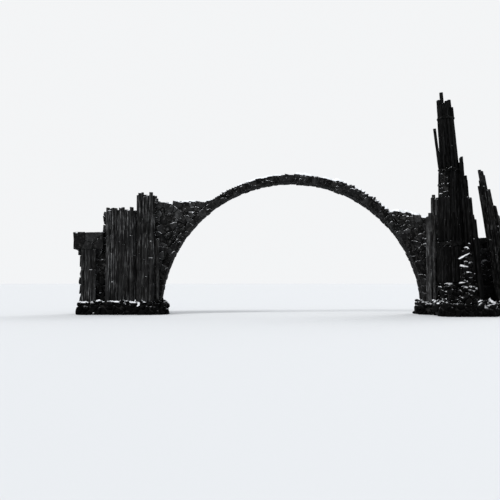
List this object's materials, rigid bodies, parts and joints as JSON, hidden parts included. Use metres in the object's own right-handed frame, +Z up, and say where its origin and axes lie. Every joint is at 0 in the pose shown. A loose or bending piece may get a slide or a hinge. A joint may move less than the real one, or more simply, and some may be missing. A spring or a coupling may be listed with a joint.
{
  "type": "moon bridge",
  "caption": "Narrow semicircular stone footbridge over still water, with rubble haunches, rough steps on its back, and standing bundles of basalt columns at both banks.",
  "frame": {"origin": "middle of the footprint at the level of the water, which is the springing level of the arch", "axes": "+X along the bridge to the right bank with the spire, +Y to the back, +Z up; the arch's own centre is at X -0.493, Y 1.345"},
  "size_m": [27.3854, 5.6006, 13.2785],
  "materials": {
    "basalt_column": "rough",
    "footing_rock": "rough",
    "path_stone": "rough",
    "rubble_masonry": "rough"
  },
  "bodies": {
    "root": {"arch_ring": "rubble_masonry", "cluster_columns": "basalt_column", "crown_path": "path_stone", "left_abutment": "rubble_masonry", "left_approach_wall": "rubble_masonry", "left_end_cap": "rubble_masonry", "left_end_columns_back": "basalt_column", "left_end_columns_front": "basalt_column", "left_end_pier": "rubble_masonry", "left_flight": "path_stone", "left_footing": "footing_rock", "left_low_columns_back": "basalt_column", "left_low_columns_front": "basalt_column", "left_short_columns_back": "basalt_column", "left_short_columns_front": "basalt_column", "left_tall_columns_back": "basalt_column", "left_tall_columns_front": "basalt_column", "right_abutment": "rubble_masonry", "right_approach_wall": "rubble_masonry", "right_flight": "path_stone", "right_footing": "footing_rock", "right_low_columns_back": "basalt_column", "right_low_columns_front": "basalt_column", "right_tall_columns_back": "basalt_column", "spire_crown_columns": "basalt_column", "spire_flank_columns": "basalt_column", "spire_lower_bed": "rubble_masonry", "spire_lower_core": "rubble_masonry", "spire_lower_tier": "basalt_column", "spire_middle_bed": "rubble_masonry", "spire_middle_core": "rubble_masonry", "spire_middle_tier": "basalt_column", "spire_mound": "footing_rock", "spire_plinth": "rubble_masonry", "spire_stack": "rubble_masonry", "spire_stray_column": "basalt_column", "spire_upper_bed": "rubble_masonry", "spire_upper_core": "rubble_masonry", "spire_upper_tier": "basalt_column"}
  },
  "joints": []
}
